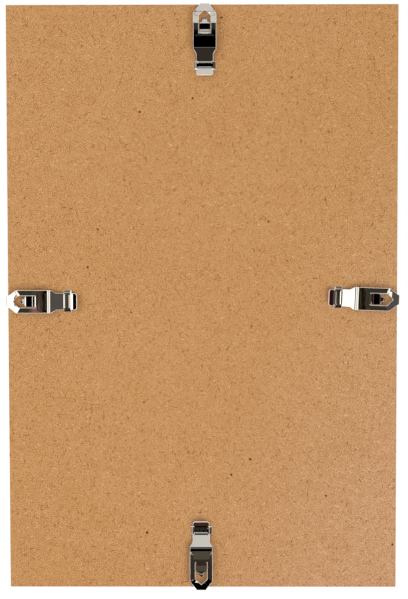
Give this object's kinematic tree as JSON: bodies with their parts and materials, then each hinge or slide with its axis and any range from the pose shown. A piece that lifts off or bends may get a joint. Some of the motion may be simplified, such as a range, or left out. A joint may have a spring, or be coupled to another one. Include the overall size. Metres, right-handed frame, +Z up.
{
  "type": "clip frame",
  "caption": "Frameless picture frame: a glass pane, a paper insert and a hardboard back gripped at the edges by bent spring clips that also hang it on a wall.",
  "frame": {"origin": "middle of the whole frame, halfway between its outermost faces on each axis", "axes": "+Z is up as the frame hangs upright; +Y points out of the glass, away from the wall, so the back and its clips face -Y; +X is to the right for someone who looks at the back"},
  "size_m": [0.2019, 0.0098, 0.3021],
  "materials": {
    "hardboard": "matte",
    "paper": "matte",
    "glass": "gloss",
    "nickel_plated_steel": "polished"
  },
  "bodies": {
    "sheets": {"back_board": "hardboard", "insert_sheet": "paper", "glass_pane": "glass"},
    "clip_top": {"clip_top": "nickel_plated_steel"},
    "clip_bottom": {"clip_bottom": "nickel_plated_steel"},
    "clip_left": {"clip_left": "nickel_plated_steel"},
    "clip_right": {"clip_right": "nickel_plated_steel"}
  },
  "joints": [
    {"name": "top_clip_hinge", "type": "hinge", "parent": "sheets", "child": "clip_top", "pos_m": [0.0014, 0.00439, 0.1475], "axis": [-1, 0, 0], "range_deg": [0, 80]},
    {"name": "bottom_clip_hinge", "type": "hinge", "parent": "sheets", "child": "clip_bottom", "pos_m": [-0.0008, 0.00439, -0.14865], "axis": [1, 0, 0], "range_deg": [0, 80]},
    {"name": "left_clip_hinge", "type": "hinge", "parent": "sheets", "child": "clip_left", "pos_m": [-0.09775, 0.00439, -0.0013], "axis": [0, 0, -1], "range_deg": [0, 80]},
    {"name": "right_clip_hinge", "type": "hinge", "parent": "sheets", "child": "clip_right", "pos_m": [0.0981, 0.00439, -0.00053], "axis": [0.0384, 0, 0.9993], "range_deg": [0, 80]}
  ]
}
